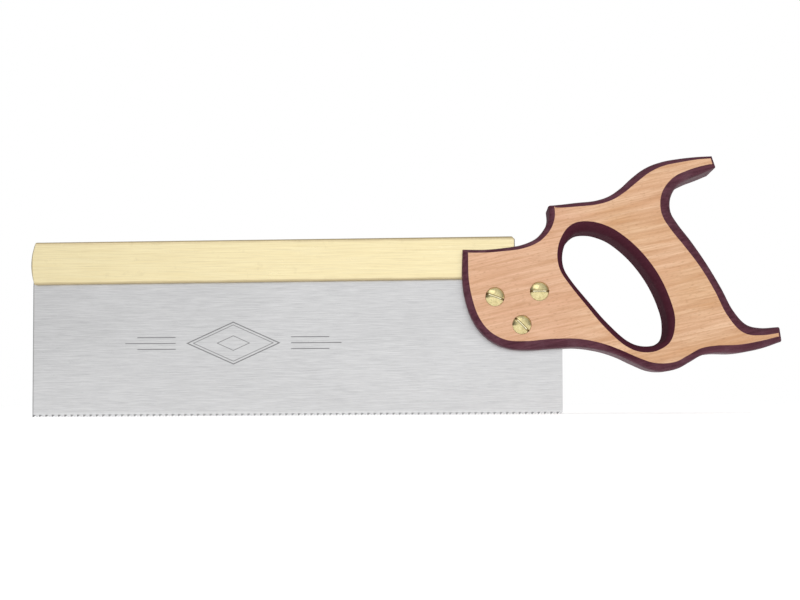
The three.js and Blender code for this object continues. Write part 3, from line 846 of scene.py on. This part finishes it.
def lip_cutter(x, z, slot_angle, material):
    """A shallow groove that follows the dome and slopes at 45 degrees down to the slot's walls."""
    ball, crown = head_ball()
    half = SLOT_WIDTH / 2 - SLOT_NARROWING
    above, inside = 0.2, 0.03
    section = ((-half - LIP - above, above), (-half + inside, -LIP - inside),
               (half - inside, -LIP - inside), (half + LIP + above, above))
    mesh = bmesh.new()
    rings = []
    for degrees in range(-64, 65, 4):
        angle = math.radians(degrees)
        ring = []
        for across, out in section:
            along = (ball + out) * math.sin(angle)
            y = -HANDLE_HALF - crown + ball - (ball + out) * math.cos(angle)
            ring.append(mesh.verts.new((along * MM, y * MM, across * MM)))
        rings.append(ring)
    for low, high in zip(rings, rings[1:]):
        wall(mesh, low, high)
    mesh.faces.new(rings[0])
    mesh.faces.new(rings[-1][::-1])
    bmesh.ops.recalc_face_normals(mesh, faces=mesh.faces)
    groove = to_object("cutter", mesh)
    groove.data.materials.append(material)
    groove.data.transform(slot_place(x, z, slot_angle))
    return groove


def slot_cutter(x, z, slot_angle, wall_material, floor_material):
    """The screwdriver slot, with a material of its own for its floor."""
    half = SLOT_WIDTH / 2 - SLOT_NARROWING
    top = -HANDLE_HALF - HEAD_DOME
    cutter = board("cutter", rectangle(-PAST, -half, PAST, half), top - 2, top + SLOT_DEPTH)
    cutter.data.transform(slot_place(x, z, slot_angle))
    cutter.data.materials.append(wall_material)
    cutter.data.materials.append(floor_material)
    cutter.data.polygons[1].material_index = 1
    return cutter


def make_nut(name, x, z, slot_angle, material, slot_floor, lip):
    seat, end, bore = -HANDLE_HALF + HEAD_SEAT, BARREL_END, SHANK_RADIUS + BORE_GAP
    profile = head_profile() + [
        (BARREL_RADIUS, seat), (BARREL_RADIUS, end - FITTING_CHAMFER), (BARREL_RADIUS - FITTING_CHAMFER, end),
        (bore + 0.2, end), (bore, end - FITTING_CHAMFER), (bore, SHANK_END_Y - 0.4), (0, SHANK_END_Y - 0.6),
    ]
    nut = turned(name + "_nut_head", profile, x, z)
    nut.data.materials.append(material)
    combine(nut, lip_cutter(x, z, slot_angle, lip))
    combine(nut, slot_cutter(x, z, slot_angle, material, slot_floor))
    shade(nut, 35)
    finish_piece(nut, name + "_saw_nut")


def make_bolt(name, x, z, material):
    head = [(radius, -y) for radius, y in reversed(head_profile())]
    shank = [(0, SHANK_END_Y), (SHANK_RADIUS - FITTING_CHAMFER, SHANK_END_Y),
             (SHANK_RADIUS, SHANK_END_Y + FITTING_CHAMFER), (SHANK_RADIUS, HANDLE_HALF - HEAD_SEAT)]
    bolt = turned(name + "_bolt_head", shank + head, x, z)
    half = NECK_SIDE / 2
    far = HANDLE_HALF - HEAD_SEAT + 0.1
    square = rectangle(x - half, z - half, x + half, z + half)
    neck = board("cutter", square, far - NECK_LENGTH, far)
    bolt.data.materials.append(material)
    combine(bolt, neck, "UNION")
    shade(bolt, 35)
    finish_piece(bolt, name + "_saw_bolt")


wood = handle_material()
raw = raw_beech_material()
steel = steel_material()
back_brass = back_brass_material()
nut_brass = fastener_material()
slot_floor = slot_material()
slot_lip = lip_material()

make_plate(steel)
make_back(back_brass)
make_handle(wood, raw)
for name, x, z, slot_angle in FASTENERS:
    make_nut(name, x, z, slot_angle, nut_brass, slot_floor, slot_lip)
    make_bolt(name, x, z, nut_brass)


# ---------------------------------------------------------------- floor, light and camera
FLOOR_HALF = 6.0
SURROUND = 0.38
# Soft lobes and dips in the surround, as (direction, sharpness, strength).
LOBES = (
    ((0.2, -1, 0), 1.4, 0.80),
    ((0, 0.3, 1), 2.0, 0.26),
    ((1, 0, 0), 3, -0.28),
    ((-1, 0, 0), 3, -0.28),
    ((0, 1, 0), 6, -0.33),
)
WHITE = (1.0, 1.0, 1.0, 1.0)


def make_floor():
    mesh = bmesh.new()
    size = FLOOR_HALF
    corners = ((-size, -size, 0), (size, -size, 0), (size, size, 0), (-size, size, 0))
    mesh.faces.new([mesh.verts.new(corner) for corner in corners])
    floor = to_object("studio_floor", mesh)
    n = Nodes("studio_floor_white")
    n.set(Base_Color=(0.92, 0.92, 0.92, 1.0), Roughness=0.9, Emission_Color=WHITE, Emission_Strength=0.50)
    floor.data.materials.append(n.material)


def make_world():
    """A soft surround, brightest in front of the saw and dim at its ends; seen directly it is plain white."""
    world = bpy.data.worlds.new("studio")
    bpy.context.scene.world = world
    world.use_nodes = True
    tree = world.node_tree
    background = tree.nodes["Background"]
    direction = tree.nodes.new("ShaderNodeTexCoord").outputs["Generated"]

    def step(operation, a, b):
        node = tree.nodes.new("ShaderNodeMath")
        node.operation = operation
        for socket, value in zip(node.inputs, (a, b)):
            if isinstance(value, bpy.types.NodeSocket):
                tree.links.new(value, socket)
            else:
                socket.default_value = value
        return node.outputs[0]

    def lobe(axis, power, strength):
        dot = tree.nodes.new("ShaderNodeVectorMath")
        dot.operation = "DOT_PRODUCT"
        tree.links.new(direction, dot.inputs[0])
        dot.inputs[1].default_value = Vector(axis).normalized()
        facing = step("MAXIMUM", dot.outputs["Value"], 0.0)
        return step("MULTIPLY", step("POWER", facing, power), strength)

    glow = lobe(*LOBES[0])
    for settings in LOBES[1:]:
        glow = step("ADD", glow, lobe(*settings))
    glow = step("ADD", glow, SURROUND)
    seen = tree.nodes.new("ShaderNodeLightPath").outputs["Is Camera Ray"]
    tree.links.new(step("MAXIMUM", glow, seen), background.inputs["Strength"])
    background.inputs["Color"].default_value = WHITE


def area_light(name, place, target, size, power):
    data = bpy.data.lights.new(name, "AREA")
    data.shape = "RECTANGLE"
    data.size, data.size_y = size
    data.energy = power
    made = bpy.data.objects.new(name, data)
    bpy.context.scene.collection.objects.link(made)
    made.location = place
    made.rotation_euler = (Vector(target) - Vector(place)).to_track_quat("-Z", "Y").to_euler()


def make_camera():
    """Level, almost square to the saw and half a metre away; the shift frames the saw without tilting."""
    data = bpy.data.cameras.new("camera")
    data.sensor_width = 36.0
    data.lens = 38.7
    data.shift_x = -0.0875
    data.shift_y = 0.131
    data.clip_start = 0.01
    data.clip_end = 50
    made = bpy.data.objects.new("camera", data)
    bpy.context.scene.collection.objects.link(made)
    made.location = (0.0378, -0.4946, 0.00571)
    made.rotation_euler = (PI / 2, math.radians(0.343), 0)
    bpy.context.scene.camera = made


make_floor()
make_world()
area_light("key_softbox", (-0.6, -0.8, 1.2), (0, 0, 0.07), (1.3, 1.0), 4)
make_camera()
bpy.context.scene.view_settings.view_transform = "Standard"
